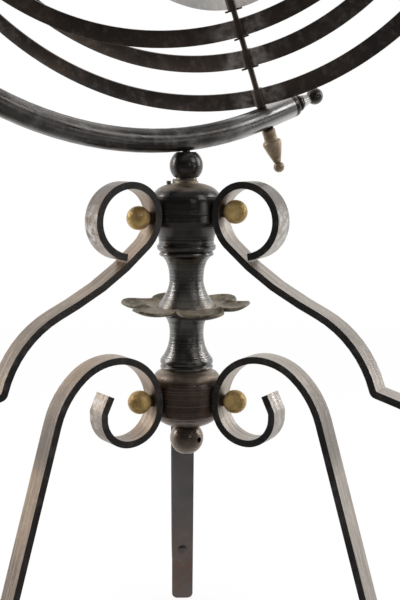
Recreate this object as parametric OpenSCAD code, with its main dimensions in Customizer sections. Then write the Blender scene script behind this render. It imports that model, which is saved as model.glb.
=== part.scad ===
// Armillary sphere on a scrolled tripod stand.
// Millimetres, +Z up. Origin on the floor, on the axis of the turned column.
// +Y points along the back leg; the other two legs stand 120 degrees to either side.

/* [Stand] */
// Height of the lower ball bolts above the floor
lower_bolt_z = 311; // [290:1:330]
// Height of the upper ball bolts above the floor
upper_bolt_z = 501; // [495:1:510]
// Width of the flat bar of legs and braces
strap_w = 26; // [20:1:30]
// Thickness of the flat bar of legs and braces
strap_t = 7; // [4:0.5:8]
// Angle of the lower leg from the vertical
leg_splay = 16; // [12:0.5:20]
// Radius of the leg's arch where it rises from the column
arch_r = 47; // [44:1:52]
// Radius of the rounded corners of the foot
foot_corner = 7; // [3:0.5:9]
// Height of the scroll at the brace's end, at its centre
ankle_z = 82; // [70:1:100]
// Radius of the scroll at the brace's end
ankle_r = 30; // [24:1:34]
// Diameter of the rivet between leg and brace
rivet_d = 6; // [4:0.5:8]
// Rise of the upper ball bolt at the front left, front right and back
bolt_drift = [-3, 3, 0];

/* [Column] */
// Radius of the belt that the straps are bolted to
belt_r = 36; // [32:0.5:40]
// Smallest radius of the two necks
waist_r = 17.5; // [14:0.5:19]
// Diameter of the rod that clamps the column together
tie_d = 10; // [8:0.5:12]
// Diameter of the brass ball on each bolt
bolt_ball_d = 24; // [20:1:26]
// Diameter of a ball bolt's shank
bolt_d = 6; // [5:0.5:8]
// Radius of the clamping nut under the column
nut_r = 17.4; // [14:0.2:18]
// Diameter of the tommy-bar hole through the nut
tommy_d = 6; // [4:0.5:7]

/* [Flower pan] */
// Number of petals
petals = 6; // [5:1:8]
// Radius over the petal tips
pan_r = 68; // [60:1:74]
// Height that the petal tips rise above the pan's floor
pan_rise = 11; // [6:1:14]
// Thickness of the sheet
pan_t = 2.5; // [2:0.25:3.5]
// Turn of the flower, from +X towards +Y to the middle of a petal
pan_turn = 46; // [0:1:60]

/* [Head] */
// Turn of the head about the column, from +X towards +Y
head_yaw = 30; // [0:5:90]
// Diameter of the swivel stud
stud_d = 8; // [6:0.5:10]
// Radius of the ball under the arc
head_ball_r = 17; // [15:0.2:18]

/* [Meridian arc] */
// Radius of the arc's centre line
arc_r = 397; // [392:1:410]
// Diameter of the arc's round bar
bar_d = 24; // [20:1:25]
// Angle along the arc from its lowest point to the stud
stud_angle = 5.8; // [4:0.2:8]
// Tilt of the polar rod from the vertical
pole_tilt = 20.2; // [18:0.1:24]
// Straight run of the bar past each pole
bar_run = 35; // [28:1:45]

/* [Polar rod and rings] */
// Diameter of the polar rod
rod_d = 6; // [5:0.5:7]
// Gap between the arc's bar and the largest ring
ring_gap = 1.7; // [1.2:0.1:3]
// Step in outer radius from each ring to the next one in
ring_steps = [42.3, 32, 29];
// Turn of each ring about the polar rod, from the plane of the arc
ring_turns = [62.6, 64.4, 42.7, 88.7];
// Width of the flat bar of a ring
ring_w = 18; // [14:1:20]
// Thickness of the flat bar of a ring
ring_t = 3; // [2:0.5:4]
// Diameter of the sleeves that carry the rings on the rod
sleeve_d = 12; // [11:0.5:14]
// Turn of the cross pin below each inner ring
pin_turns = [-40, 0, -30];
// Length of a cross pin
pin_l = 18; // [12:1:20]
// Diameter of a cross pin
pin_d = 2; // [1.5:0.25:2.5]
// Radius of the globe at the centre
globe_r = 38; // [25:1:50]

/* [Hidden] */
$fn = 96;

running = 0.05;       // radial clearance of a turning fit
screwed = 0.1;        // radial clearance of a screwed or clamped fit
seat = 0.3;           // gap between pieces that turn past each other
touch = 0.05;         // gap under a piece that seats on a curved face
leg_azimuths = [210, 330, 90];
level = [0, 0, 0];    // no rise: the three lower bolts share a height
eps = 0.01;

iron = [0.16, 0.14, 0.13];
ring_iron = [0.2, 0.16, 0.14];
worn_iron = [0.42, 0.4, 0.37];
brass = [0.62, 0.5, 0.26];
pan_brown = [0.4, 0.36, 0.27];

// Bends of the straps: [length, 0] is a straight run and [radius, sweep] a bend
leg_curl = [[4, 0], [35, 90], [28, 90], [4, 0], [8, 25], [17, 0]];
knee_r = 90;          // slow bend between the leg's arch and its shank
brace_curl = [[30, -90], [36, -90], [35, -82]];
brace_flow = [[41.5, 46], [304, 18], [22, 0], [110, -48]];
cusp_bend = [5, 57];

ring_1_r = arc_r - bar_d / 2 - ring_gap;
ring_radii = [ring_1_r,
              ring_1_r - ring_steps[0],
              ring_1_r - ring_steps[0] - ring_steps[1],
              ring_1_r - ring_steps[0] - ring_steps[1] - ring_steps[2]];

// Column heights, from the nut up
contact_r = belt_r + strap_t / 2;
washer_t = 1.5;
knob_h_low = 58;
knob_h_up = 61;
knob_low_z = lower_bolt_z - 28.5;
neck_low_z = knob_low_z + knob_h_low;
knob_up_z = upper_bolt_z - 28;
neck_split = 0.44;    // share of the span between the knobs below the pan
pan_z = neck_low_z + (knob_up_z - neck_low_z) * neck_split;
neck_up_z = pan_z + pan_t;
knob_up_top = knob_up_z + knob_h_up;
thrust_t = 1;
ball_base_z = knob_up_top + thrust_t;
ball_land = 3.1;      // height cut off the head ball for the arc to rest on
head_ball_z = ball_base_z + head_ball_r - 2.5;
head_ball_top = head_ball_z + head_ball_r - ball_land;
arc_gap = 1;
arc_seat_z = head_ball_top + arc_gap + bar_d / 2;
sphere_z = arc_seat_z + arc_r * cos(stud_angle);
sphere_shift = arc_r * sin(stud_angle);
nut_z = knob_low_z - washer_t - nut_r + 3.5;

// Smooth curve through two ends with two handles
function bezier(a, b, c, d, n = 10) =
    [for (i = [0:n]) let (t = i / n, u = 1 - t)
        u * u * u * a + 3 * u * u * t * b + 3 * u * t * t * c + t * t * t * d];

// Points of a circular arc in a profile
function arc_points(centre, r, from, to, n = 8) =
    [for (i = [0:n]) let (a = from + (to - from) * i / n)
        centre + r * [cos(a), sin(a)]];

function reversed(v) = [for (i = [len(v) - 1:-1:0]) v[i]];

// A station on a strap's centre line is [radius, height, heading].
// A step is [length, 0] for a straight run or [radius, sweep] for a bend, left being positive.
function stations(at, step) =
    step[1] == 0
        ? [[at[0] + step[0] * cos(at[2]), at[1] + step[0] * sin(at[2]), at[2]]]
        : let (n = ceil(abs(step[1]) / 6), s = sign(step[1]))
          [for (i = [1:n]) let (h = at[2] + step[1] * i / n)
              [at[0] + s * step[0] * (sin(h) - sin(at[2])),
               at[1] - s * step[0] * (cos(h) - cos(at[2])),
               h]];

function walk(at, steps, i = 0) =
    i == len(steps)
        ? []
        : let (part = stations(at, steps[i]))
          concat(part, walk(part[len(part) - 1], steps, i + 1));

function about_face(path) =
    [for (s = reversed(path)) [s[0], s[1], s[2] + 180]];

function side(path, off) =
    [for (s = path) [s[0] - off * sin(s[2]), s[1] + off * cos(s[2])]];

function last(v) = v[len(v) - 1];

// Flat bar bent along a path of stations
module strap(path) {
    rotate([90, 0, 0])
        linear_extrude(height = strap_w, center = true)
            polygon(concat(side(path, strap_t / 2), reversed(side(path, -strap_t / 2))));
}

// Leg: scroll, column seat, arch and straight shank, in the plane of its azimuth
leg_seat = [contact_r, lower_bolt_z, 90];
leg_scroll = walk([contact_r, lower_bolt_z, -90], leg_curl);
leg_arch = walk(leg_seat, [[arch_r, -90], [arch_r * 1.25, -40], [knee_r, leg_splay - 50]]);
leg_knee = last(leg_arch);
leg_path = concat(about_face(leg_scroll), [leg_seat], leg_arch,
                  walk(leg_knee, [[(leg_knee[1] + strap_t) / cos(leg_splay), 0]]));
function leg_r(z) = leg_knee[0] + (leg_knee[1] - z) * tan(leg_splay);

// Brace: scroll, column seat, sweep, cusp, belly and ankle scroll that lies on the leg
cusp_heading = -17;
cusp_run = 24;
belly_heading = -78;
ankle_c = [leg_r(ankle_z) + (ankle_r + strap_t) / cos(leg_splay), ankle_z];
belly_end = ankle_c + ankle_r * [cos(belly_heading + 90), -sin(belly_heading + 90)];
brace_seat = [contact_r, upper_bolt_z, -90];
brace_scroll = walk([contact_r, upper_bolt_z, 90], brace_curl);
brace_sweep = walk(brace_seat, brace_flow);
brace_cusp = walk(last(brace_sweep), [cusp_bend, [cusp_run, 0]]);
brace_out = last(brace_cusp);
belly_r = (belly_end[0] - brace_out[0]) / (sin(cusp_heading) - sin(belly_heading));
belly_drop = brace_out[1] - belly_end[1] - belly_r * (cos(cusp_heading) - cos(belly_heading));
flank_r = belly_drop / (2 * cos(belly_heading));
brace_path = concat(about_face(brace_scroll), [brace_seat], brace_sweep, brace_cusp,
                    walk(brace_out, [[belly_r, belly_heading - cusp_heading],
                                     [flank_r, -2 * (90 + belly_heading)],
                                     [ankle_r, -178],
                                     [ankle_r * 0.82, -70]]));

// Line through leg and ankle scroll, square to the leg
module on_ankle(azimuth) {
    rotate([0, 0, azimuth])
        translate([ankle_c[0], 0, ankle_c[1]])
            rotate([0, -90 - leg_splay, 0])
                children();
}

module at_bolts(z, drift) {
    for (i = [0:2])
        rotate([0, 0, leg_azimuths[i]])
            translate([0, 0, z + drift[i]])
                rotate([0, 90, 0])
                    children();
}

// Bolt hole through a strap, spot-faced for the ball's collar
module strap_bolt_hole(azimuth, z) {
    rotate([0, 0, azimuth])
        translate([0, 0, z])
            rotate([0, 90, 0]) {
                translate([0, 0, belt_r - strap_t])
                    cylinder(r = bolt_d / 2 + 2 * screwed, h = 2 * strap_t + 1);
                translate([0, 0, belt_r + strap_t - touch])
                    cylinder(r = collar_r + screwed, h = strap_t);
            }
}

module foot_trim() {
    rotate([90, 0, 90])
        linear_extrude(height = upper_bolt_z)
            union() {
                translate([-strap_w, foot_corner])
                    square([2 * strap_w, upper_bolt_z]);
                translate([foot_corner - strap_w / 2, 0])
                    square([strap_w - 2 * foot_corner, 2 * foot_corner]);
                for (s = [-1, 1])
                    translate([s * (strap_w / 2 - foot_corner), foot_corner])
                        circle(r = foot_corner);
            }
}

module leg(azimuth) {
    color(iron)
        difference() {
            rotate([0, 0, azimuth])
                intersection() {
                    strap(leg_path);
                    foot_trim();
                }
            strap_bolt_hole(azimuth, lower_bolt_z);
            on_ankle(azimuth)
                translate([0, 0, ankle_r + strap_t / 2 - 2])
                    cylinder(r = rivet_d / 2 + screwed, h = strap_t + 4);
        }
}

module brace(i) {
    azimuth = leg_azimuths[i];
    color(iron)
        difference() {
            rotate([0, 0, azimuth])
                strap(brace_path);
            strap_bolt_hole(azimuth, upper_bolt_z + bolt_drift[i]);
            on_ankle(azimuth) {
                translate([0, 0, ankle_r - strap_t])
                    cylinder(r = rivet_d / 2 + screwed, h = 2 * strap_t);
                translate([0, 0, ankle_r - strap_t * 1.5])
                    cylinder(r = rivet_head_r + screwed, h = strap_t);
            }
        }
}

// Rivet with a low dome on the leg's inner face and one inside the scroll
rivet_head_r = rivet_d * 0.9;

module ankle_rivets() {
    head_r = rivet_head_r;
    grip = 2 * strap_t;
    color(iron)
        for (a = leg_azimuths)
            on_ankle(a)
                translate([0, 0, ankle_r - strap_t / 2])
                    rotate_extrude()
                        polygon(concat(
                            [[0, -rivet_d * 0.45]],
                            bezier([0, -rivet_d * 0.45], [head_r * 0.6, -rivet_d * 0.45],
                                   [head_r, -rivet_d * 0.3], [head_r, -seat], 6),
                            [[rivet_d / 2, -seat], [rivet_d / 2, grip + seat]],
                            bezier([head_r, grip + seat], [head_r, grip + rivet_d * 0.3],
                                   [head_r * 0.6, grip + rivet_d * 0.45], [0, grip + rivet_d * 0.45], 6)));
}

// Brass ball on a collar and shank, screwed into the knob through the strap
ball_bolt_r = belt_r + strap_t + 1 + bolt_ball_d / 2;
collar_r = bolt_ball_d * 0.25;
bolt_reach = 14;

module ball_bolts(z, drift) {
    start = belt_r - bolt_reach;
    face = belt_r + strap_t;
    centre = ball_bolt_r - start;
    color(brass)
        at_bolts(z, drift)
            translate([0, 0, start]) {
                cylinder(d = bolt_d, h = centre);
                translate([0, 0, face - start])
                    cylinder(r = collar_r, h = 5);
                translate([0, 0, centre])
                    sphere(d = bolt_ball_d);
            }
}

module bolt_holes(z, drift) {
    at_bolts(z, drift)
        translate([0, 0, belt_r - bolt_reach - 1])
            cylinder(r = bolt_d / 2 + screwed, h = bolt_reach + 10);
}

module tie_bore(from, to) {
    translate([0, 0, from])
        cylinder(r = tie_d / 2 + screwed, h = to - from);
}

tie_low = nut_z + tommy_d / 2 + 1;
tie_high = upper_bolt_z + 1;
bearing_floor = tie_high + 5;   // bottom of the swivel stud's bearing

module tie_rod() {
    color(iron)
        translate([0, 0, tie_low])
            cylinder(d = tie_d, h = tie_high - tie_low);
}

// Turned ball nut with a flat top land and a cross hole for a tommy bar
module bottom_nut() {
    top = knob_low_z - washer_t;
    color(iron)
        difference() {
            rotate_extrude()
                polygon(concat(
                    [[0, nut_z - nut_r + 2]],
                    arc_points([0, nut_z], nut_r, -asin((nut_r - 2) / nut_r), 46, 16),
                    [[nut_r * 0.66, top - 1], [nut_r * 0.66, top], [0, top]]));
            tie_bore(tie_low - 0.4, top + 1);
            translate([0, 0, nut_z])
                rotate([90, 0, tommy_turn])
                    cylinder(d = tommy_d, h = 3 * nut_r, center = true);
        }
}
tommy_turn = 48;

module bottom_washer() {
    color(worn_iron)
        translate([0, 0, knob_low_z - washer_t])
            difference() {
                cylinder(r = nut_r * 0.8, h = washer_t);
                translate([0, 0, -1])
                    cylinder(r = tie_d / 2 + 2 * screwed, h = washer_t + 2);
            }
}

module lower_knob() {
    z = knob_low_z;
    top = z + knob_h_low;
    color(iron)
        difference() {
            rotate_extrude()
                polygon(concat(
                    [[0, z], [21, z]],
                    bezier([23, z + 0.8], [28, z + 3], [belt_r, z + 8], [belt_r, z + 15]),
                    bezier([belt_r, top - 17], [belt_r, top - 8], [32, top - 3.5], [29, top - 2.5]),
                    [[27, top - 1.5], [25.5, top], [0, top]]));
            tie_bore(z - 1, top + 1);
            bolt_holes(lower_bolt_z, level);
        }
}

module lower_neck() {
    z = neck_low_z;
    top = pan_z;
    mid = z + (top - z) * 0.64;
    color(iron)
        difference() {
            rotate_extrude()
                polygon(concat(
                    [[0, z], [25.5, z]],
                    arc_points([25, z + 2.4], 2.4, -60, 75, 6),
                    [[25.3, z + 5.4]],
                    bezier([27.2, z + 6.4], [27.6, z + 9], [26.9, z + 11], [25.9, z + 12], 6),
                    bezier([25.6, z + 12.4], [22, z + 17], [waist_r, z + 25], [waist_r, mid]),
                    bezier([waist_r, mid + 1], [waist_r, mid + 9], [19.5, top - 7], [22.5, top - 3.5]),
                    [[24, top - 3], [24, top], [0, top]]));
            tie_bore(z - 1, top + 1);
        }
}

// Pressed sheet flower: a dished bowl trimmed to a ring of petals
hub_r = 27;
petal_r = pan_r * 0.34;

module pan_section() {
    lip = pan_z + pan_rise;
    upper = bezier([hub_r + 4, pan_z], [pan_r * 0.66, pan_z - 1], [pan_r * 0.86, pan_z + 1],
                   [pan_r + 1, lip - pan_t * 0.6], 12);
    lower = [for (p = upper) p + [0, pan_t]];
    polygon(concat([[0, pan_z]], upper, reversed(lower), [[0, pan_z + pan_t]]));
}

module petal_outline() {
    union() {
        circle(r = hub_r + 8);
        for (i = [0:petals - 1])
            rotate(i * 360 / petals + pan_turn)
                translate([pan_r - petal_r, 0])
                    circle(r = petal_r);
        for (i = [0:petals - 1])
            rotate(i * 360 / petals + pan_turn)
                translate([hub_r - 8, -petal_r * 0.72])
                    square([pan_r - petal_r - hub_r + 8, petal_r * 1.44]);
    }
}

module flower_pan() {
    color(pan_brown)
        difference() {
            intersection() {
                rotate_extrude()
                    pan_section();
                translate([0, 0, pan_z - 20])
                    linear_extrude(height = 60)
                        petal_outline();
            }
            tie_bore(pan_z - 1, pan_z + pan_t + 1);
        }
}

module upper_neck() {
    z = neck_up_z;
    top = knob_up_z;
    mid = z + (top - z) * 0.42;
    color(iron)
        difference() {
            rotate_extrude()
                polygon(concat(
                    [[0, z], [29.4, z], [30.5, z + 0.9], [30.5, z + 2.4]],
                    bezier([30.2, z + 3.2], [28.8, z + 8.4], [19.5, z + 15], [waist_r, mid], 12),
                    bezier([waist_r, mid + 1], [waist_r, mid + 10], [18.6, top - 22], [24.4, top - 16.4]),
                    [[26.4, top - 15.2], [27.8, top - 14.2], [28, top - 13.2], [27.4, top - 11.8],
                     [26.6, top - 10.8], [28.4, top - 9.6], [30, top - 8], [30.3, top - 6],
                     [29.8, top - 4], [28.4, top - 2.6], [28.2, top], [0, top]]));
            tie_bore(z - 1, top + 1);
        }
}

lock_r = 18;
lock_d = 4;

module upper_knob() {
    z = knob_up_z;
    top = knob_up_top;
    color(iron)
        difference() {
            rotate_extrude()
                polygon(concat(
                    [[0, z], [28.2, z]],
                    bezier([28.4, z + 0.6], [28.6, z + 9], [belt_r - 1.5, z + 12], [belt_r, z + 20]),
                    bezier([belt_r, top - 22], [belt_r, top - 12], [30, top - 5], [14, top - 2.2], 12),
                    [[12.5, top - 2.2], [12, top], [0, top]]));
            tie_bore(z - 1, tie_high + 1);
            translate([0, 0, bearing_floor])
                cylinder(r = stud_d / 2 + running, h = top - bearing_floor + 1);
            bolt_holes(upper_bolt_z, bolt_drift);
            rotate([0, 0, lock_turn])
                translate([lock_r, 0, top - 14])
                    cylinder(r = lock_d / 2 + screwed, h = 20);
        }
}
lock_turn = 183;

// Small screw that stands proud of the knob's shoulder
module swivel_lock_screw() {
    foot = knob_up_top - 13;
    head = knob_up_top - 2.4;
    color(worn_iron)
        rotate([0, 0, lock_turn])
            translate([lock_r, 0, 0]) {
                translate([0, 0, foot])
                    cylinder(d = lock_d, h = head - foot);
                translate([0, 0, head])
                    cylinder(d = lock_d * 1.2, h = 2.6);
            }
}

module thrust_washer() {
    color(brass)
        translate([0, 0, knob_up_top])
            difference() {
                cylinder(r = 11, h = thrust_t - seat);
                translate([0, 0, -1])
                    cylinder(r = stud_d / 2 + seat, h = thrust_t + 2);
            }
}

module head_ball() {
    base = ball_base_z;
    a = asin((head_ball_z - base - 3) / head_ball_r);
    color(iron)
        difference() {
            rotate_extrude()
                polygon(concat(
                    [[0, base], [10.4, base], [10.8, base + 0.6], [10.6, base + 2.4]],
                    arc_points([0, head_ball_z], head_ball_r, -a, asin(1 - ball_land / head_ball_r), 20),
                    [[0, head_ball_top]]));
            translate([0, 0, base - 1])
                cylinder(r = stud_d / 2 + screwed, h = 3 * head_ball_r);
        }
}

module swivel_stud() {
    foot = bearing_floor + 1;
    color(worn_iron)
        translate([0, 0, foot])
            cylinder(d = stud_d, h = arc_seat_z + bar_d / 4 - foot);
}

// Centre of the sphere, with X along the arc's plane towards the lower pole
module in_head() {
    rotate([0, 0, head_yaw])
        translate([-sphere_shift, 0, sphere_z])
            children();
}

// The same, with Z along the polar rod
module in_polar() {
    in_head()
        rotate([0, -pole_tilt, 0])
            children();
}

module both_poles() {
    for (s = [0, 1])
        rotate([s * 180, 0, 0])
            children();
}

// Half circle of round bar that runs on straight past both poles
module meridian_arc() {
    color(worn_iron)
        difference() {
            union() {
                in_head()
                    rotate([90, 0, 0])
                        rotate([0, 0, pole_tilt - 270])
                            rotate_extrude(angle = 180, $fn = 180)
                                translate([arc_r, 0])
                                    circle(d = bar_d, $fn = 48);
                in_polar()
                    for (s = [-1, 1])
                        translate([0, 0, s * arc_r])
                            rotate([0, 90, 0])
                                cylinder(d = bar_d, h = bar_run, $fn = 48);
            }
            in_polar()
                cylinder(r = rod_d / 2 + screwed, h = 2 * arc_r + 2 * bar_d, center = true);
            translate([0, 0, arc_seat_z - bar_d])
                cylinder(r = stud_d / 2 + screwed, h = bar_d * 1.25 + 1);
        }
}

// Turned knob on the end of the bar: neck, bead, cone and ball
module arc_end(s) {
    r = bar_d / 2;
    ball_r = 9;
    ball_at = 35;
    color(worn_iron)
        in_polar()
            translate([bar_run, 0, -s * arc_r])
                rotate([0, 90, 0])
                    rotate_extrude()
                        polygon(concat(
                            [[0, 0], [r, 0], [r, 4]],
                            bezier([r, 4], [r, 6], [r - 1, 6.6], [r - 2.4, 6.8], 4),
                            [[7.2, 7], [7, 9]],
                            arc_points([6, 11.8], 2.9, -75, 80, 8),
                            [[7.4, 15], [4.6, ball_at - ball_r + 1.2]],
                            arc_points([0, ball_at], ball_r, -asin((ball_r - 1.3) / ball_r), 90, 14)));
}

finial_seat = arc_r + bar_d / 2;
washer_h = 1.8;

module polar_rod() {
    reach = finial_seat + 24;
    color(worn_iron)
        difference() {
            in_polar()
                cylinder(d = rod_d, h = 2 * reach, center = true);
            for (k = [1:3])
                cross_pin_at(k)
                    cylinder(r = pin_d / 2 + screwed, h = 2 * rod_d, center = true);
        }
}

// Turned brass finial screwed on the end of the rod
module finial_end(s) {
    z = finial_seat + washer_h;
    color(brass)
        in_polar()
            rotate([s > 0 ? 180 : 0, 0, 0])
                translate([0, 0, z])
                    difference() {
                        rotate_extrude()
                            polygon(concat(
                                [[0, 0], [7, 0], [7.2, 1], [6.9, 4], [7, 11]],
                                bezier([8.6, 11.6], [10.4, 12.4], [10.2, 15.4], [9.6, 17], 6),
                                bezier([9.6, 17], [7.6, 25], [4.8, 32], [3.8, 35.4], 8),
                                arc_points([0, 41], 5.8, -62, 90, 12)));
                        translate([0, 0, -1])
                            cylinder(r = rod_d / 2 + screwed, h = 24 - washer_h + 2);
                    }
}

module finial_washers() {
    color(iron)
        in_polar()
            both_poles()
                translate([0, 0, finial_seat])
                    difference() {
                        cylinder(d = 12, h = washer_h);
                        translate([0, 0, -1])
                            cylinder(r = rod_d / 2 + screwed, h = washer_h + 2);
                    }
}

// Washers between the outer ring's sleeves and the bar
module ring_spacers() {
    color(worn_iron)
        in_polar()
            both_poles()
                translate([0, 0, ring_radii[0] + seat])
                    difference() {
                        cylinder(d = 10, h = ring_gap - seat - touch);
                        translate([0, 0, -1])
                            cylinder(r = rod_d / 2 + screwed, h = ring_gap + 2);
                    }
}

module cross_pin_at(k) {
    in_polar()
        rotate([0, 0, pin_turns[k - 1]])
            translate([0, 0, -ring_radii[k] - seat - pin_d / 2])
                rotate([0, 90, 0])
                    children();
}

module cross_pins() {
    color(iron)
        for (k = [1:3])
            cross_pin_at(k)
                cylinder(d = pin_d, h = pin_l, center = true);
}

module centre_globe() {
    color(brass)
        in_polar()
            difference() {
                union() {
                    sphere(r = globe_r);
                    cylinder(d = rod_d * 2, h = 2 * globe_r + 14, center = true);
                }
                cylinder(r = rod_d / 2 + screwed, h = 3 * globe_r, center = true);
            }
}

slot_floor = sleeve_d / 2 - 1.5;

// Flat hoop in two halves, let into the slots of its sleeves
module ring(k) {
    r = ring_radii[k];
    color(ring_iron)
        in_polar()
            rotate([0, 0, -ring_turns[k]])
                rotate([90, 0, 0])
                    linear_extrude(height = ring_t, center = true)
                        difference() {
                            circle(r = r, $fn = 240);
                            circle(r = r - ring_w, $fn = 240);
                            square([2 * slot_floor, 3 * r], center = true);
                        }
}

module ring_sleeves(k) {
    r = ring_radii[k];
    color(ring_iron)
        in_polar()
            rotate([0, 0, -ring_turns[k]])
                both_poles()
                    translate([0, 0, r - ring_w])
                        difference() {
                            cylinder(d = sleeve_d, h = ring_w);
                            translate([0, 0, -1])
                                cylinder(r = rod_d / 2 + running, h = ring_w + 2);
                            for (s = [-1, 1])
                                translate([s * (slot_floor + sleeve_d / 2), 0, ring_w / 2])
                                    cube([sleeve_d, ring_t, ring_w + 2], center = true);
                        }
}

leg(leg_azimuths[0]);  // leg_front_left
leg(leg_azimuths[1]);  // leg_front_right
leg(leg_azimuths[2]);  // leg_back
brace(0);  // brace_front_left
brace(1);  // brace_front_right
brace(2);  // brace_back
ball_bolts(upper_bolt_z, bolt_drift);  // upper_ball_bolts
ball_bolts(lower_bolt_z, level);  // lower_ball_bolts
ankle_rivets();
tie_rod();
bottom_nut();
bottom_washer();
lower_knob();
lower_neck();
flower_pan();
upper_neck();
upper_knob();
swivel_lock_screw();
thrust_washer();
head_ball();
swivel_stud();
meridian_arc();
arc_end(1);  // arc_end_lower
arc_end(-1);  // arc_end_upper
polar_rod();
finial_end(1);  // finial_lower
finial_end(-1);  // finial_upper
finial_washers();
ring_spacers();
cross_pins();
centre_globe();
ring(0);  // ring_1
ring(1);  // ring_2
ring(2);  // ring_3
ring(3);  // ring_4
ring_sleeves(0);  // ring_1_sleeves
ring_sleeves(1);  // ring_2_sleeves
ring_sleeves(2);  // ring_3_sleeves
ring_sleeves(3);  // ring_4_sleeves
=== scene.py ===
import bmesh
import bpy
import math
from mathutils import Matrix, Vector


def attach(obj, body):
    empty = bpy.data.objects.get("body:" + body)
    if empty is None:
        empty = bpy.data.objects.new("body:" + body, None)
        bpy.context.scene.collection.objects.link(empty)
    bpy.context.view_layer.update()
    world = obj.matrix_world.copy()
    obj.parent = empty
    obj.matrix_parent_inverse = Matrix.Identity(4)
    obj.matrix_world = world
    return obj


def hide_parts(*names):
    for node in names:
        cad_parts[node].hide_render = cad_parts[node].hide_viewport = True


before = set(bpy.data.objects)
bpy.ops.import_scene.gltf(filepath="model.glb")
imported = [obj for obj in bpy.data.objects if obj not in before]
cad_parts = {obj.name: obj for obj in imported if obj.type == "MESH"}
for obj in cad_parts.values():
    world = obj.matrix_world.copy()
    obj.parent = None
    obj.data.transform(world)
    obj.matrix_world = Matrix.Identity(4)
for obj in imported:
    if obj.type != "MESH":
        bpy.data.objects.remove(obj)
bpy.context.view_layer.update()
mm = 0.001
collection = bpy.context.scene.collection


def clamp(value):
    return min(1.0, max(0.0, value))


def metres(place):
    return [length * mm for length in place]


# Level direction away from the column at an azimuth in degrees
def outwards(azimuth):
    turn = math.radians(azimuth)
    return Vector((math.cos(turn), math.sin(turn), 0))


# Node helpers: a value given as a socket is linked, anything else is set on the socket
def addNode(tree, kind, inputs=None, **settings):
    node = tree.nodes.new(kind)
    for key, value in settings.items():
        setattr(node, key, value)
    for key, value in (inputs or {}).items():
        if isinstance(value, bpy.types.NodeSocket):
            tree.links.new(value, node.inputs[key])
        else:
            node.inputs[key].default_value = value
    return node


def calc(tree, how, a, b=0.0, clamped=False):
    return addNode(tree, "ShaderNodeMath", {0: a, 1: b}, operation=how, use_clamp=clamped).outputs[0]


def times(tree, a, b):
    return calc(tree, "MULTIPLY", a, b)


# In a Mix node, sockets 6 and 7 take the colours, and 2 and 3 take the numbers
def mixColour(tree, share, a, b):
    a, b = [c if isinstance(c, bpy.types.NodeSocket) else (*c, 1.0) for c in (a, b)]
    return addNode(tree, "ShaderNodeMix", {0: share, 6: a, 7: b}, data_type="RGBA").outputs[2]


def mixValue(tree, share, a, b):
    return addNode(tree, "ShaderNodeMix", {0: share, 2: a, 3: b}, data_type="FLOAT").outputs[0]


# 0 at start, 1 at end, and held outside them
def fade(tree, value, start, end):
    return addNode(tree, "ShaderNodeMapRange", {0: value, 1: start, 2: end}).outputs[0]


def along(tree, spot, way):
    return addNode(tree, "ShaderNodeVectorMath", {0: spot, 1: way}, operation="DOT_PRODUCT").outputs[1]


def distance(tree, spot, centre):
    return addNode(tree, "ShaderNodeVectorMath", {0: spot, 1: centre}, operation="DISTANCE").outputs[1]


def noise(tree, spot, scale, kind):
    return addNode(tree, "ShaderNodeTexNoise", {"Vector": spot, "Scale": scale, "Detail": kind["detail"],
                                                "Roughness": kind["rough"]}).outputs[0]


# How fine each noise is, and between which of its values it colours, darkens or roughens the metal
pattern = {
    "patch": {"detail": 4, "rough": 0.5, "colours": (0.38, 0.64)},
    "mottle": {"detail": 6, "rough": 0.62, "colours": (0.5, 0.72), "roughens": (0.3, 0.7)},
    "grain": {"detail": 3, "rough": 0.6},
    "line": {"detail": 3, "rough": 0.5, "colours": (0.56, 0.7)},
    "streak": {"detail": 4, "rough": 0.6, "colours": (0.52, 0.7), "darkens": (0.47, 0.3),
               "roughens": (0.4, 0.65), "roughness": 0.1},
}

# What a look has where it names nothing else. Scales and lines are in waves per metre, shares go up to 1, and
# bumpDepth is in millimetres. Dark and warm are mixed in patches, and pale is where the metal is worn.
plainLook = {"metallic": 0.85, "rough": (0.25, 0.42), "patchScale": 14, "mottleScale": 90, "grainScale": 620,
             "wornShare": 0.4, "lines": 0, "lineShare": 0.3, "lineDepth": 0.5, "streak": None, "bands": [],
             "bump": 0.25, "bumpDepth": 0.6}

# The same for a band: soft is how far its upper and lower edges fade, core the share of its reach that is
# covered in full, and broken the mottling's value at which it starts to show
plainBand = {"soft": 2, "core": 0.6, "broken": 0.3, "brokenSpan": 0.3}


# Noise drawn out along a bar: fine across it, slow along it. A bent bar names the centre of its bend.
def streakNoise(tree, spot, streak):
    across = times(tree, along(tree, spot, streak["across"]), streak["fine"])
    run = times(tree, along(tree, spot, streak["run"]), streak["slow"])
    if "centre" in streak:
        third = times(tree, distance(tree, spot, streak["centre"]), streak["fine"])
    else:
        third = times(tree, along(tree, spot, (0, 0, 1)), streak["slow"])
    drawnOut = addNode(tree, "ShaderNodeCombineXYZ", {0: across, 1: run, 2: third}).outputs[0]
    return noise(tree, drawnOut, 1.0, pattern["streak"])


# Rings that a lathe leaves at each height
def turnedLines(tree, height, lines):
    kind = pattern["line"]
    return addNode(tree, "ShaderNodeTexNoise", {"W": times(tree, height, lines), "Scale": 1.0,
                                                "Detail": kind["detail"], "Roughness": kind["rough"]},
                   noise_dimensions="1D").outputs[0]


# How much a band covers: one between two heights, or one round a spot, thinned out by the mottling
def bandShare(tree, band, spot, height, mottle):
    if "at" in band:
        reach = band["reach"] * mm
        share = fade(tree, distance(tree, spot, metres(band["at"])), reach, reach * band["core"])
    else:
        low, high, soft = metres((band["from"], band["to"], band["soft"]))
        above = fade(tree, height, low - soft, low + soft)
        share = times(tree, above, fade(tree, height, high + soft, high - soft))
    thinned = fade(tree, mottle, band["broken"], band["broken"] + band["brokenSpan"])
    return times(tree, times(tree, share, thinned), band["share"])


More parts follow.
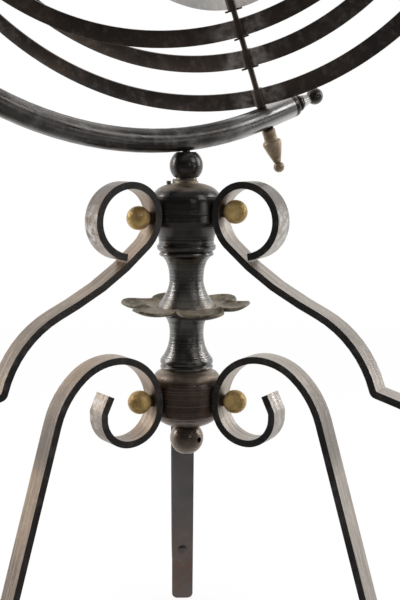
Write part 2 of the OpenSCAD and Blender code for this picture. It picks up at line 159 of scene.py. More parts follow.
# Metal with patches, mottling, fine grain, turned lines up its height, streaks along a bar, and bands of
# dust, rust, soot or polish
def metalFinish(name, ownLook):
    look = {**plainLook, **ownLook}
    material = bpy.data.materials.new(name)
    material.use_nodes = True
    tree = material.node_tree
    tree.nodes.clear()
    shader = addNode(tree, "ShaderNodeBsdfPrincipled", {"Metallic": look["metallic"]})
    addNode(tree, "ShaderNodeOutputMaterial", {0: shader.outputs[0]})
    spot = addNode(tree, "ShaderNodeTexCoord").outputs["Object"]
    height = addNode(tree, "ShaderNodeSeparateXYZ", {0: spot}).outputs[2]
    patches = noise(tree, spot, look["patchScale"], pattern["patch"])
    mottle = noise(tree, spot, look["mottleScale"], pattern["mottle"])
    grain = noise(tree, spot, look["grainScale"], pattern["grain"])
    colour = mixColour(tree, fade(tree, patches, *pattern["patch"]["colours"]), look["dark"], look["warm"])
    worn = times(tree, fade(tree, mottle, *pattern["mottle"]["colours"]), look["wornShare"])
    colour = mixColour(tree, worn, colour, look["pale"])
    rough = mixValue(tree, fade(tree, mottle, *pattern["mottle"]["roughens"]), *look["rough"])
    if look["lines"]:
        lines = turnedLines(tree, height, look["lines"])
        bright = times(tree, fade(tree, lines, *pattern["line"]["colours"]), look["lineShare"])
        colour = mixColour(tree, bright, colour, look["pale"])
        grain = calc(tree, "ADD", grain, times(tree, lines, look["lineDepth"]))
    if look["streak"]:
        kind, streak = pattern["streak"], look["streak"]
        streaks = streakNoise(tree, spot, streak)
        bright = times(tree, fade(tree, streaks, *kind["colours"]), streak["share"])
        colour = mixColour(tree, bright, colour, look["pale"])
        deep = times(tree, fade(tree, streaks, *kind["darkens"]), streak["share"])
        colour = mixColour(tree, deep, colour, streak["deep"])
        rougher = times(tree, fade(tree, streaks, *kind["roughens"]), kind["roughness"])
        rough = calc(tree, "ADD", rough, rougher)
    for ownBand in look["bands"]:
        band = {**plainBand, **ownBand}
        share = bandShare(tree, band, spot, height, mottle)
        colour = mixColour(tree, share, colour, band["colour"])
        rough = mixValue(tree, share, rough, band["rough"])
    relief = calc(tree, "ADD", grain, mottle)
    bump = addNode(tree, "ShaderNodeBump",
                   {"Height": relief, "Strength": look["bump"], "Distance": look["bumpDepth"] * mm})
    tree.links.new(colour, shader.inputs["Base Color"])
    tree.links.new(rough, shader.inputs["Roughness"])
    tree.links.new(bump.outputs[0], shader.inputs["Normal"])
    return material


finish = {}


def addFinishes(looks):
    for name, look in looks.items():
        finish[name] = metalFinish(name + "Finish", look)
    print("stage: finishes made", ", ".join(looks))


def newPiece(name, mesh, *materials):
    piece = bpy.data.objects.new(name, mesh)
    collection.objects.link(piece)
    for material in materials:
        mesh.materials.append(material)
    return piece


def finishPiece(piece, body, node):
    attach(piece, body)
    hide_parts(node)


# Turns modifiers into a plain mesh
def settle(piece):
    bpy.context.view_layer.update()
    graph = bpy.context.evaluated_depsgraph_get()
    mesh = bpy.data.meshes.new_from_object(piece.evaluated_get(graph), depsgraph=graph)
    piece.modifiers.clear()
    piece.data = mesh
    return piece


# How a copied solid is cleaned and eased, in millimetres and degrees
easeSize = {"join": 0.002, "flatAngle": 0.6, "sharpAngle": 32, "cornerAngle": 38, "segments": 2,
            "facing": 0.7}


# Copy of a CAD node with its doubles merged and its edges eased. Where across is given, the faces that look
# along it get the edge finish, as the bevels do.
def easedCopy(name, node, width, material, edgeMaterial=None, across=None):
    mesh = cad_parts[node].data.copy()
    mesh.materials.clear()
    form = bmesh.new()
    form.from_mesh(mesh)
    bmesh.ops.remove_doubles(form, verts=form.verts, dist=easeSize["join"] * mm)
    bmesh.ops.dissolve_limit(form, angle_limit=math.radians(easeSize["flatAngle"]), verts=form.verts,
                             edges=form.edges)
    form.normal_update()
    for face in form.faces:
        face.smooth = True
        face.material_index = 1 if across and abs(face.normal.dot(across)) > easeSize["facing"] else 0
    form.to_mesh(mesh)
    form.free()
    piece = newPiece(name, mesh, material, edgeMaterial or material)
    if mesh.attributes.get("custom_normal"):
        mesh.attributes.remove(mesh.attributes["custom_normal"])
    mesh.set_sharp_from_angle(angle=math.radians(easeSize["sharpAngle"]))
    bevel = piece.modifiers.new("ease", "BEVEL")
    bevel.width = width * mm
    bevel.segments = easeSize["segments"]
    bevel.limit_method = "ANGLE"
    bevel.angle_limit = math.radians(easeSize["cornerAngle"])
    bevel.material = 1
    bevel.harden_normals = True
    return settle(piece)


# Lathe form about X, from a profile of (along, radius) in millimetres that starts and ends on the axis
def turnedForm(name, profile, sides, sharpAngle):
    form = bmesh.new()
    turns = [2 * math.pi * i / sides for i in range(sides)]
    rows = []
    for place, radius in profile:
        rows.append([form.verts.new(metres((place, radius * math.cos(turn), radius * math.sin(turn))))
                     for turn in (turns if radius else [0])])
    for low, high in zip(rows, rows[1:]):  # a row on the axis is one point, so its faces are triangles
        for i in range(sides):
            j = (i + 1) % sides
            corners = [low[i % len(low)], low[j % len(low)], high[j % len(high)], high[i % len(high)]]
            form.faces.new([v for k, v in enumerate(corners) if v not in corners[:k]])
    bmesh.ops.recalc_face_normals(form, faces=form.faces)
    for face in form.faces:
        face.smooth = True
    mesh = bpy.data.meshes.new(name)
    form.to_mesh(mesh)
    form.free()
    mesh.set_sharp_from_angle(angle=math.radians(sharpAngle))
    return mesh


# Tree helpers: each tree has named inputs and ends in Realize Instances and Set Material
def startTree(name, sockets):
    tree = bpy.data.node_groups.new(name, "GeometryNodeTree")
    tree.interface.new_socket("Geometry", in_out="OUTPUT", socket_type="NodeSocketGeometry")
    for label, kind in sockets.items():
        tree.interface.new_socket(label, in_out="INPUT", socket_type="NodeSocket" + kind)
    return tree, tree.nodes.new("NodeGroupInput").outputs


def endTree(tree, ask, geometry):
    real = addNode(tree, "GeometryNodeRealizeInstances", {0: geometry})
    painted = addNode(tree, "GeometryNodeSetMaterial",
                      {"Geometry": real.outputs[0], "Material": ask["Material"]})
    addNode(tree, "NodeGroupOutput", {0: painted.outputs[0]})


def runTree(piece, tree, values):
    modifier = piece.modifiers.new(tree.name, "NODES")
    modifier.node_group = tree
    sockets = {item.name: item.identifier for item in tree.interface.items_tree if item.in_out == "INPUT"}
    for label, value in values.items():
        modifier[sockets[label]] = value
    return settle(piece)


# Repeats a form about the column's axis, each one facing outwards. Sway lowers one side and lifts the other.
def makeRoundTree():
    tree, ask = startTree("aroundColumn", {"Form": "Geometry", "Count": "Int", "First azimuth": "Float",
                                           "Height": "Float", "Sway": "Float", "Join distance": "Float",
                                           "Material": "Material"})
    index = addNode(tree, "GeometryNodeInputIndex").outputs[0]
    turn = times(tree, index, calc(tree, "DIVIDE", 2 * math.pi, ask["Count"]))
    sway = times(tree, ask["Sway"], calc(tree, "SINE", turn))
    place = addNode(tree, "ShaderNodeCombineXYZ", {2: calc(tree, "SUBTRACT", ask["Height"], sway)})
    points = addNode(tree, "GeometryNodePoints", {"Count": ask["Count"], "Position": place.outputs[0]})
    azimuth = addNode(tree, "ShaderNodeCombineXYZ", {2: calc(tree, "ADD", turn, ask["First azimuth"])})
    facing = addNode(tree, "FunctionNodeEulerToRotation", {0: azimuth.outputs[0]})
    copies = addNode(tree, "GeometryNodeInstanceOnPoints",
                     {"Points": points.outputs[0], "Instance": ask["Form"], "Rotation": facing.outputs[0]})
    real = addNode(tree, "GeometryNodeRealizeInstances", {0: copies.outputs[0]})
    joined = addNode(tree, "GeometryNodeMergeByDistance",
                     {"Geometry": real.outputs[0], "Distance": ask["Join distance"]})
    endTree(tree, ask, joined.outputs[0])
    return tree


# Two half hoops of flat bar with eased corners, cut square where they enter the sleeves
def makeHoopTree():
    tree, ask = startTree("flatHoop", {"Geometry": "Geometry", "Outer radius": "Float", "Width": "Float",
                                       "Thickness": "Float", "Corner": "Float", "Corner steps": "Int",
                                       "Steps": "Int", "Half gap": "Float", "Place": "Vector",
                                       "Turn": "Vector", "Material": "Material"})
    centre = calc(tree, "SUBTRACT", ask["Outer radius"], times(tree, ask["Width"], 0.5))
    cut = calc(tree, "ARCSINE", calc(tree, "DIVIDE", ask["Half gap"], centre))
    sweep = calc(tree, "SUBTRACT", math.pi, times(tree, cut, 2.0))
    section = addNode(tree, "GeometryNodeCurvePrimitiveQuadrilateral",
                      {"Width": ask["Width"], "Height": ask["Thickness"]})
    eased = addNode(tree, "GeometryNodeFilletCurve",
                    {"Curve": section.outputs[0], "Radius": ask["Corner"], "Count": ask["Corner steps"]},
                    mode="POLY")
    halves = addNode(tree, "GeometryNodeJoinGeometry")
    for first in (-math.pi / 2, math.pi / 2):
        half = addNode(tree, "GeometryNodeCurveArc",
                       {"Resolution": ask["Steps"], "Radius": centre, "Sweep Angle": sweep,
                        "Start Angle": calc(tree, "ADD", cut, first)})
        level = addNode(tree, "GeometryNodeSetCurveNormal", {"Curve": half.outputs[0]}, mode="Z_UP")
        bar = addNode(tree, "GeometryNodeCurveToMesh",
                      {"Curve": level.outputs[0], "Profile Curve": eased.outputs[0], "Fill Caps": True})
        tree.links.new(bar.outputs[0], halves.inputs[0])
    turned = addNode(tree, "GeometryNodeTransform",
                     {"Geometry": halves.outputs[0], "Translation": ask["Place"], "Rotation": ask["Turn"]})
    endTree(tree, ask, turned.outputs[0])
    return tree


roundTree = makeRoundTree()
hoopTree = makeHoopTree()

# All sizes and places from here to the studio are in millimetres and degrees

# Colours that several finishes share
dust = (0.42, 0.35, 0.27)
rust = (0.16, 0.075, 0.04)
wear = (0.66, 0.65, 0.64)
soot = (0.14, 0.12, 0.105)

# Straps: the bars of the three legs and braces. Rubbed and sooty places on the front ones are given by their
# distance from the column's axis and their height.
strapSize = {
    "ease": 0.9,
    "sides": {"front_left": {"azimuth": 210, "look": "strapLeft"},
              "front_right": {"azimuth": 330, "look": "strapRight"},
              # the back leg and brace take a darker copy of the strap finish as painted shade
              "back": {"azimuth": 90, "look": "strapBackPaintedShade"}},
    "marks": [{"out": 106, "height": 524, "reach": 32, "share": 0.85, "colour": soot, "broken": 0.2},
              {"out": 114, "height": 490, "reach": 26, "share": 0.9, "colour": wear, "broken": 0.42},
              {"out": 100, "height": 476, "reach": 20, "share": 0.5, "colour": wear, "broken": 0.42},
              {"out": 104, "height": 306, "reach": 22, "share": 0.7, "colour": wear, "broken": 0.4},
              {"out": 151, "height": 297, "reach": 52, "share": 0.7, "colour": soot, "broken": 0.2},
              {"out": 184, "height": 379, "reach": 40, "share": 0.6, "colour": soot, "broken": 0.3}],
}


def frontStrapLook(side, dark, warm, pale):
    azimuth = strapSize["sides"][side]["azimuth"]
    run = outwards(azimuth)
    marks = [{**mark, "at": run * mark["out"] + Vector((0, 0, mark["height"])), "rough": 0.26}
             for mark in strapSize["marks"]]
    return {"dark": dark, "warm": warm, "pale": pale, "wornShare": 0.45, "rough": (0.24, 0.42),
            "patchScale": 17, "mottleScale": 150, "metallic": 1.0, "bump": 0.3, "bands": marks,
            "streak": {"across": outwards(azimuth + 90), "run": run, "fine": 420, "slow": 16, "share": 0.6,
                       "deep": (0.12, 0.09, 0.07)}}


addFinishes({
    "strapLeft": frontStrapLook("front_left", dark=(0.22, 0.17, 0.13), warm=(0.38, 0.28, 0.2),
                                pale=(0.62, 0.54, 0.45)),
    "strapRight": frontStrapLook("front_right", dark=(0.34, 0.305, 0.27), warm=(0.43, 0.375, 0.32),
                                 pale=(0.68, 0.64, 0.59)),
    # Back leg and brace: a darker, duller copy of the strap finish, as painted shade; the rust near the floor
    # is real
    "strapBackPaintedShade": {"dark": (0.11, 0.105, 0.105), "warm": (0.15, 0.135, 0.13), "pale": (0.24, 0.22, 0.21),
                  "wornShare": 0.25, "rough": (0.38, 0.55), "patchScale": 17, "mottleScale": 120,
                  "metallic": 0.9,
                  "bands": [{"from": 0, "to": 85, "soft": 40, "share": 0.6, "colour": rust, "rough": 0.5}]},
    "strapEdge": {"dark": (0.042, 0.04, 0.04), "warm": (0.07, 0.062, 0.058), "pale": (0.22, 0.2, 0.19),
                  "wornShare": 0.3, "rough": (0.3, 0.45), "metallic": 0.8},
})
for side, strap in strapSize["sides"].items():
    for part in ("leg", "brace"):
        piece = easedCopy(part + "Strap_" + side, part + "_" + side, strapSize["ease"], finish[strap["look"]],
                          finish["strapEdge"], outwards(strap["azimuth"] + 90))
        finishPiece(piece, "stand", part + "_" + side)
print("stage: straps dressed")

# Ball bolts: shank, stepped collar and a ball with scribed lines about its middle and near its end. Root and
# face are distances from the column's axis, and shank, collar and ball are radii. The upper bolt at the left
# sits sideStep lower than the back one, and the one at the right as much higher.
boltSize = {"count": 3, "firstAzimuth": 90, "heights": {"upper": 501, "lower": 311},
            "sideStep": {"upper": 3, "lower": 0}, "root": 22.2, "shank": 3, "shankEase": (0.6, 0.4),
            "face": 43, "faceGap": 0.02, "collar": 6, "collarEase": 0.5, "collarLength": 2.2,
            "ball": 12, "ballGap": 1, "ballFrom": 32, "ballStep": 4, "scribed": (84, 96, 148, 164),
            "scribeDepth": 0.22, "sides": 48, "sharpAngle": 40, "shadeOut": 1.5}


def boltSway(level):
    return boltSize["sideStep"][level] / math.sin(2 * math.pi / boltSize["count"])


def boltProfile(size):
    face = size["face"] + size["faceGap"]
    middle = size["face"] + size["ballGap"] + size["ball"]
    easeLong, easeDeep = size["shankEase"]
    profile = [(size["root"], 0),
               (size["root"], size["shank"] - easeDeep),
               (size["root"] + easeLong, size["shank"]),
               (face, size["shank"]),
               (face, size["collar"] - size["collarEase"]),
               (size["face"] + size["collarEase"], size["collar"]),
               (size["face"] + size["collarLength"], size["collar"])]
    for degree in range(size["ballFrom"], 180, size["ballStep"]):
        radius = size["ball"] - (size["scribeDepth"] if degree in size["scribed"] else 0)
        turn = math.radians(degree)
        profile.append((middle - radius * math.cos(turn), radius * math.sin(turn)))
    return profile + [(middle + size["ball"], 0)]


# Painted shade: dark rings on each ball and collar next to its strap, where shade falls between the parts
def boltPaintedShade():
    paintedShades = []
    for level, height in boltSize["heights"].items():
        for k in range(boltSize["count"]):
            turn = 360 * k / boltSize["count"]
            rise = height - boltSway(level) * math.sin(math.radians(turn))
            out = outwards(boltSize["firstAzimuth"] + turn) * (boltSize["face"] + boltSize["shadeOut"])
            paintedShades.append({"at": out + Vector((0, 0, rise)), "reach": 10, "share": 0.95, "rough": 0.45,
                           "colour": (0.07, 0.05, 0.035), "broken": 0.0})
    return paintedShades


addFinishes({
    "brass": {"dark": (0.34, 0.215, 0.075), "warm": (0.66, 0.46, 0.18), "pale": (0.88, 0.7, 0.4),
              "wornShare": 0.45, "rough": (0.36, 0.5), "patchScale": 60, "mottleScale": 260, "metallic": 0.65,
              # painted shade where each ball meets its strap
              "bands": boltPaintedShade()},
})
for level, height in boltSize["heights"].items():
    form = turnedForm(level + "BallBolt", boltProfile(boltSize), boltSize["sides"], boltSize["sharpAngle"])
    piece = newPiece(level + "BallBolts", form)
    runTree(piece, roundTree, {"Count": boltSize["count"],
                               "First azimuth": math.radians(boltSize["firstAzimuth"]),
                               "Height": height * mm, "Sway": boltSway(level) * mm, "Join distance": 0.0,
                               "Material": finish["brass"]})
    finishPiece(piece, "stand", level + "_ball_bolts")
print("stage: ball bolts spread")

# Flower pan: one petal of a sheet, dished and lipped, repeated round the column. Reach is the radius of the
# whole pan and petal that of a petal's round end. Some petals are bent by use: each bend starts at a distance
# along its way and comes to its full move a span further out.
panSize = {
    "petals": 6, "turn": 46, "floor": 398.8, "sheet": 2.5, "hole": 5.2, "reach": 68, "petal": 23.12,
    "flat": 31, "rise": 11, "notchRise": 5.5, "risePower": 2.4, "belly": 1.1, "bellyEnd": 1.1,
    "ridge": {"height": 4.5, "from": 26, "rise": 4, "to": 38, "fall": 26},
    "bends": [{"way": (-0.85, -0.53, 0), "from": 30, "span": 36, "power": 1.5, "move": (0, 0, -3.5)},
              {"way": (0.2, -1, 0), "from": 26, "span": 40, "power": 1.3, "move": (0, 0, -7)},
              {"way": (1, 0, 0), "from": 32, "span": 34, "power": 1.5, "move": (-3, 0, 0)}],
    "join": 0.01, "lip": 0.9, "lipSteps": 3, "lipAngle": 55, "steps": (24, 26),
}


# Height of the sheet at a radius. Side is 0 along the middle of a petal and 1 along a notch.
def sheetHeight(size, radius, rim, side):
    ridge = size["ridge"]
    lift = size["rise"] + (size["notchRise"] - size["rise"]) * side ** 2
    t = max(0.0, (radius - size["flat"]) / (rim - size["flat"]))
    belly = size["belly"] * math.sin(math.pi * min(1.0, t * size["bellyEnd"])) * (1 - side)
    fall = clamp((radius - ridge["to"]) / ridge["fall"])
    rise = clamp((radius - ridge["from"]) / ridge["rise"])
    top = ridge["height"] * rise * (1 - fall * fall * (3 - 2 * fall))
    return size["sheet"] + lift * t ** size["risePower"] - belly + top


def petalSheet(size):
    form = bmesh.new()
    out = size["reach"] - size["petal"]
    half = math.pi / size["petals"]
    sideSteps, outSteps = size["steps"]
    grid = []
    for i in range(sideSteps + 1):
        angle = half * (2 * i / sideSteps - 1)
        rim = out * math.cos(angle) + math.sqrt(size["petal"] ** 2 - (out * math.sin(angle)) ** 2)
        row = []
        for j in range(outSteps + 1):
            radius = size["hole"] + (rim - size["hole"]) * j / outSteps
            rise = sheetHeight(size, radius, rim, abs(angle) / half)
            row.append(form.verts.new(metres((radius * math.cos(angle), radius * math.sin(angle), rise))))
        grid.append(row)
    for row, after in zip(grid, grid[1:]):
        for j in range(outSteps):
            face = form.faces.new((row[j], row[j + 1], after[j + 1], after[j]))
            face.smooth = True
    mesh = bpy.data.meshes.new("petal")
    form.to_mesh(mesh)
    form.free()
    return mesh


addFinishes({
    "pan": {"dark": (0.075, 0.06, 0.038), "warm": (0.25, 0.21, 0.145), "pale": (0.62, 0.54, 0.42),
            "wornShare": 0.6, "rough": (0.36, 0.6), "patchScale": 44, "mottleScale": 170, "metallic": 0.55,
            "bands": [{"at": (0, 0, 400), "reach": 56, "share": 0.8, "colour": dust, "rough": 0.65}]},
    # The pan's underside: a darker copy of the pan's finish, as painted shade
    "panUnderPaintedShade": {"dark": (0.05, 0.042, 0.034), "warm": (0.1, 0.082, 0.062), "pale": (0.22, 0.185, 0.14),
                 "wornShare": 0.35, "rough": (0.35, 0.55), "patchScale": 34, "mottleScale": 170,
                 "metallic": 0.7},
})
pan = newPiece("flowerPan", petalSheet(panSize))
runTree(pan, roundTree, {"Count": panSize["petals"], "First azimuth": math.radians(panSize["turn"]),
                         "Height": panSize["floor"] * mm, "Sway": 0.0, "Join distance": panSize["join"] * mm,
                         "Material": finish["pan"]})
for point in pan.data.vertices:
    for bend in panSize["bends"]:
        share = clamp((point.co.dot(bend["way"]) / mm - bend["from"]) / bend["span"])
        point.co += Vector(metres(bend["move"])) * share ** bend["power"]
# The sheet's lower face takes the darker finish: painted shade under the petals
pan.data.materials.append(finish["panUnderPaintedShade"])
wall = pan.modifiers.new("sheet", "SOLIDIFY")
wall.thickness = panSize["sheet"] * mm
wall.offset = -1
wall.material_offset = 1
lip = pan.modifiers.new("lip", "BEVEL")
lip.width = panSize["lip"] * mm
lip.segments = panSize["lipSteps"]
lip.limit_method = "ANGLE"
lip.angle_limit = math.radians(panSize["lipAngle"])
settle(pan)
finishPiece(pan, "stand", "flower_pan")
print("stage: pan petals", panSize["petals"])

# Hoops and their sleeves, about the middle of the polar rod. Yaw turns the arc's plane about the column, and
# shift is the middle's distance from the column's axis. In poleFrame, Z points up the rod and X lies in the
# plane of the arc.
headSize = {"yaw": 30, "shift": 40.12, "height": 971.368, "tilt": 20.2}
poleFrame = (Matrix.Rotation(math.radians(headSize["yaw"]), 4, "Z")
             @ Matrix.Translation((-headSize["shift"] * mm, 0, headSize["height"] * mm))
             @ Matrix.Rotation(-math.radians(headSize["tilt"]), 4, "Y"))
hoopSize = {"radii": [383.3, 341, 309, 280], "turns": [62.6, 64.4, 42.7, 88.7],
            "looks": ["ring", "ring", "ring", "ringPale"], "width": 18, "thickness": 3, "corner": 0.5,
            "cornerSteps": 3, "steps": 150, "halfGap": 4.4, "sleeveEase": 0.5}


# Bright places on the dark hoops, where they enter the lower sleeves
def rubbedPlaces():
    spots = [poleFrame @ Vector((0, 0, (hoopSize["width"] / 2 - radius) * mm))
             for radius, look in zip(hoopSize["radii"], hoopSize["looks"]) if look == "ring"]
    return [{"at": spot / mm, "reach": 34, "share": 0.85, "colour": (0.45, 0.41, 0.39), "rough": 0.3,
             "broken": 0.35} for spot in spots]


addFinishes({
    "ring": {"dark": (0.05, 0.044, 0.041), "warm": (0.105, 0.078, 0.062), "pale": (0.24, 0.205, 0.18),
             "wornShare": 0.45, "rough": (0.24, 0.4), "patchScale": 12, "bands": rubbedPlaces()},
    "ringPale": {"dark": (0.33, 0.32, 0.31), "warm": (0.42, 0.39, 0.37), "pale": (0.62, 0.6, 0.58),
                 "rough": (0.26, 0.4), "patchScale": 12, "metallic": 0.9},
    "rod": {"dark": (0.06, 0.047, 0.04), "warm": (0.11, 0.085, 0.07), "pale": (0.26, 0.22, 0.18),
            "rough": (0.3, 0.5)},
})
for k, (radius, turn, look) in enumerate(zip(hoopSize["radii"], hoopSize["turns"], hoopSize["looks"]), 1):
    place = (poleFrame @ Matrix.Rotation(-math.radians(turn), 4, "Z")
             @ Matrix.Rotation(math.radians(90), 4, "X"))
    hoop = newPiece("hoop_%d" % k, bpy.data.meshes.new("hoop"))
    runTree(hoop, hoopTree, {"Outer radius": radius * mm, "Width": hoopSize["width"] * mm,
                             "Thickness": hoopSize["thickness"] * mm, "Corner": hoopSize["corner"] * mm,
                             "Corner steps": hoopSize["cornerSteps"], "Steps": hoopSize["steps"],
                             "Half gap": hoopSize["halfGap"] * mm, "Place": place.to_translation(),
                             "Turn": place.to_euler(), "Material": finish[look]})
    sleeves = easedCopy("hoopSleeves_%d" % k, "ring_%d_sleeves" % k, hoopSize["sleeveEase"], finish["rod"])
    finishPiece(hoop, "ring_%d_body" % k, "ring_%d" % k)
    finishPiece(sleeves, "ring_%d_body" % k, "ring_%d_sleeves" % k)
print("stage: hoops swept")

# Turned and plain pieces that keep their CAD form
addFinishes({
    "column": {"dark": (0.13, 0.127, 0.124), "warm": (0.2, 0.19, 0.18), "pale": (0.62, 0.6, 0.57),
               "wornShare": 0.15, "rough": (0.15, 0.25), "lines": 1300, "lineShare": 0.5, "lineDepth": 0.9,
               "bump": 0.34, "metallic": 1.0,
               "bands": [{"from": 400, "to": 413, "share": 0.35, "colour": dust, "rough": 0.5}]},
    "lowerKnob": {"dark": (0.11, 0.088, 0.075), "warm": (0.18, 0.132, 0.105), "pale": (0.4, 0.33, 0.28),
                  "wornShare": 0.35, "rough": (0.22, 0.38), "lines": 800, "lineShare": 0.75, "metallic": 0.95,
                  "bands": [{"from": 331, "to": 342, "share": 0.5, "colour": dust, "rough": 0.6},
                            {"from": 280, "to": 286, "share": 0.3, "colour": dust, "rough": 0.6},
                            {"from": 296, "to": 322, "share": 0.4, "colour": rust, "rough": 0.5,
                             "broken": 0.4}]},
    "upperKnob": {"dark": (0.075, 0.072, 0.07), "warm": (0.11, 0.1, 0.094), "pale": (0.3, 0.28, 0.26),
                  "wornShare": 0.15, "rough": (0.15, 0.25), "lines": 1000, "lineShare": 0.4,
                  "lineDepth": 0.8, "metallic": 0.95,
                  "bands": [{"from": 526, "to": 536, "share": 0.85, "colour": dust, "rough": 0.6,
                             "broken": 0.2},
                            {"from": 500.2, "to": 500.8, "soft": 0.3, "share": 0.9, "rough": 0.6,
                             "colour": (0.01, 0.01, 0.01), "broken": 0.0}]},
    "nut": {"dark": (0.14, 0.11, 0.09), "warm": (0.24, 0.19, 0.155), "pale": (0.45, 0.38, 0.32),
            "rough": (0.2, 0.36), "metallic": 0.95, "lines": 800, "lineShare": 0.4},
    "rivet": {"dark": (0.07, 0.065, 0.063), "warm": (0.11, 0.095, 0.09), "pale": (0.2, 0.18, 0.17),
              "rough": (0.35, 0.5)},
    "arc": {"dark": (0.09, 0.085, 0.08), "warm": (0.21, 0.195, 0.185), "pale": (0.5, 0.49, 0.48),
            "wornShare": 0.5, "rough": (0.22, 0.42), "patchScale": 22, "mottleScale": 70, "grainScale": 300,
            "bump": 0.08, "metallic": 1.0,
            "bands": [{"at": (88, 51, 607), "reach": 62, "share": 0.6, "colour": wear, "rough": 0.24,
                       "broken": 0.0}],
            "streak": {"across": outwards(headSize["yaw"] - 90), "run": outwards(headSize["yaw"]),
                       "centre": poleFrame.to_translation(), "fine": 200, "slow": 9, "share": 0.6,
                       "deep": (0.05, 0.042, 0.038)}},
    "arcEnd": {"dark": (0.06, 0.055, 0.052), "warm": (0.11, 0.1, 0.09), "pale": (0.4, 0.38, 0.35),
               "wornShare": 0.3, "rough": (0.18, 0.3), "patchScale": 60, "mottleScale": 180, "metallic": 1.0,
               "bands": [{"at": (128.5, 73.5, 615.5), "reach": 9.5, "share": 0.9, "colour": wear,
                          "rough": 0.22, "broken": 0.0}]},
    "finial": {"dark": (0.25, 0.18, 0.115), "warm": (0.42, 0.325, 0.23), "pale": (0.66, 0.56, 0.43),
               "wornShare": 0.5, "rough": (0.35, 0.5), "patchScale": 70, "mottleScale": 240,
               "metallic": 0.65},
})
keptForms = {
    "column": ["lower_neck", "upper_neck"],
    "lowerKnob": ["lower_knob"],
    "upperKnob": ["upper_knob", "head_ball"],
    "nut": ["bottom_nut"],
    "rivet": ["ankle_rivets"],
    "arc": ["meridian_arc"],
    "arcEnd": ["arc_end_lower", "arc_end_upper"],
    "finial": ["finial_lower", "finial_upper", "thrust_washer"],
    "brass": ["centre_globe"],
    "ringPale": ["swivel_lock_screw"],
    "rod": ["bottom_washer", "tie_rod", "swivel_stud", "polar_rod", "finial_washers", "ring_spacers",
            "cross_pins"],
}
for look, nodes in keptForms.items():
    for node in nodes:
        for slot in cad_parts[node].material_slots:
            slot.material = finish[look]
print("stage: kept forms painted", sum(len(nodes) for nodes in keptForms.values()))

# Studio. The camera sees the floor and the world white. Metal mirrors them dark in front of the object, grey
# overhead and white behind it, and they fade over between two turns: the floor's are in metres, and the
# world's are parts of a direction, from -1 to 1. The paper glows a little less near the object, where its
# shadow falls.
studio = {"floorHalf": 9, "paper": (0.86, 0.86, 0.86), "glowNear": 0.9, "near": 0.9, "far": 3.0,
          "floorFront": 0.07, "floorTurns": (-0.25, 0.45), "worldFront": 0.02, "worldTurns": (-0.2, 0.25),
          "worldTop": 0.25, "topTurns": (0.4, 0.95), "worldLight": 0.6}


def makeFloor():
    form = bmesh.new()
    bmesh.ops.create_grid(form, x_segments=1, y_segments=1, size=studio["floorHalf"])
    mesh = bpy.data.meshes.new("studioFloor")
    form.to_mesh(mesh)
    form.free()
    paper = bpy.data.materials.new("studioPaper")
    paper.use_nodes = True
    tree = paper.node_tree
    tree.nodes.clear()
    path = addNode(tree, "ShaderNodeLightPath").outputs
    seen = calc(tree, "ADD", calc(tree, "ADD", path["Is Camera Ray"], path["Is Glossy Ray"]),
                path["Is Transmission Ray"], clamped=True)
    flat = addNode(tree, "ShaderNodeBsdfDiffuse", {"Color": (*studio["paper"], 1)})
    spot = addNode(tree, "ShaderNodeTexCoord").outputs["Object"]
    back = addNode(tree, "ShaderNodeSeparateXYZ", {0: spot}).outputs[1]
    away = addNode(tree, "ShaderNodeVectorMath", {0: spot}, operation="LENGTH").outputs[1]
    share = mixValue(tree, fade(tree, away, studio["near"], studio["far"]), studio["glowNear"], 1.0)
    mirrored = mixValue(tree, fade(tree, back, *studio["floorTurns"]), studio["floorFront"], 1.0)
    glow = addNode(tree, "ShaderNodeEmission",
                   {"Color": (1, 1, 1, 1), "Strength": mixValue(tree, path["Is Glossy Ray"], 1.0, mirrored)})
    both = addNode(tree, "ShaderNodeMixShader",
                   {0: times(tree, seen, share), 1: flat.outputs[0], 2: glow.outputs[0]})
    addNode(tree, "ShaderNodeOutputMaterial", {0: both.outputs[0]})
    newPiece("studioFloor", mesh, paper)


def makeWorld():
    world = bpy.data.worlds.new("studio")
    bpy.context.scene.world = world
    world.use_nodes = True
    tree = world.node_tree
    tree.nodes.clear()
    path = addNode(tree, "ShaderNodeLightPath").outputs
    seen = calc(tree, "ADD", path["Is Camera Ray"], path["Is Transmission Ray"], clamped=True)
    sky = addNode(tree, "ShaderNodeTexCoord").outputs["Generated"]
    way = addNode(tree, "ShaderNodeSeparateXYZ", {0: sky})
    back = mixValue(tree, fade(tree, way.outputs[1], *studio["worldTurns"]), studio["worldFront"], 1.0)
    above = times(tree, fade(tree, way.outputs[2], *studio["topTurns"]), studio["worldTop"])
    mirrored = calc(tree, "MAXIMUM", back, above)
    light = mixValue(tree, path["Is Glossy Ray"], studio["worldLight"], mirrored)
    ground = addNode(tree, "ShaderNodeBackground",
                     {"Color": (1, 1, 1, 1), "Strength": mixValue(tree, seen, light, 1.0)})
    addNode(tree, "ShaderNodeOutputWorld", {0: ground.outputs[0]})


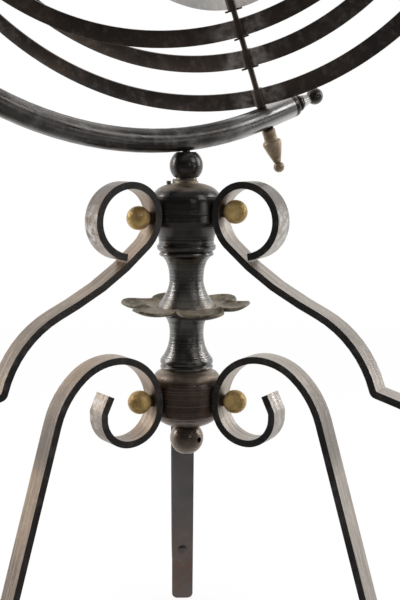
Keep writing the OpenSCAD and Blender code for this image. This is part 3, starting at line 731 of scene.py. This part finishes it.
# Softboxes light the object without a mirror image; sparks and strips put highlights on the metal
lampAim = (0, 0, 0.7)
lamps = {
    "leftSoftbox": {"at": (-2.0, 0.1, 1.2), "size": (1.6, 2.2), "power": 20, "mirrored": False},
    "rightSoftbox": {"at": (2.0, 0.3, 1.2), "size": (1.6, 2.2), "power": 20, "mirrored": False},
    "topSoftbox": {"at": (0.0, 0.4, 3.0), "size": (2.0, 2.0), "power": 22, "mirrored": False},
    "frontSpark": {"at": (1.0, -2.4, 1.1), "size": (0.24, 0.3), "power": 0.9, "mirrored": True},
    "sideSpark": {"at": (2.1, -1.3, 0.45), "size": (0.4, 0.6), "power": 1.5, "mirrored": True},
    "leftStrip": {"at": (-2.0, 0.5, 1.35), "size": (0.35, 1.2), "power": 9, "mirrored": True},
    "rightStrip": {"at": (2.0, 0.5, 1.35), "size": (0.35, 1.2), "power": 9, "mirrored": True},
    "arcSpark": {"at": (1.65, -1.0, 1.8), "size": (0.7, 0.7), "power": 4.5, "mirrored": True},
}


def makeLamps():
    for name, lamp in lamps.items():
        data = bpy.data.lights.new(name, "AREA")
        data.shape = "RECTANGLE"
        data.size, data.size_y = lamp["size"]
        data.energy = lamp["power"]
        light = bpy.data.objects.new(name, data)
        light.location = lamp["at"]
        light.rotation_euler = (Vector(lampAim) - Vector(lamp["at"])).to_track_quat("-Z", "Y").to_euler()
        light.visible_glossy = lamp["mirrored"]
        collection.objects.link(light)


cameraView = {"lens": 70.5, "sensor": 36, "clip": (0.05, 60), "at": (-0.0301, -1.2006, 0.5645), "tilt": 82.76,
              "turn": -2.1}


def makeCamera():
    data = bpy.data.cameras.new("photoView")
    data.lens = cameraView["lens"]
    data.sensor_width = cameraView["sensor"]
    data.clip_start, data.clip_end = cameraView["clip"]
    camera = bpy.data.objects.new("photoView", data)
    camera.location = cameraView["at"]
    camera.rotation_euler = (math.radians(cameraView["tilt"]), 0, math.radians(cameraView["turn"]))
    collection.objects.link(camera)
    bpy.context.scene.camera = camera


makeFloor()
makeWorld()
makeLamps()
makeCamera()
bpy.context.scene.view_settings.view_transform = "Standard"
print("stage: studio ready")
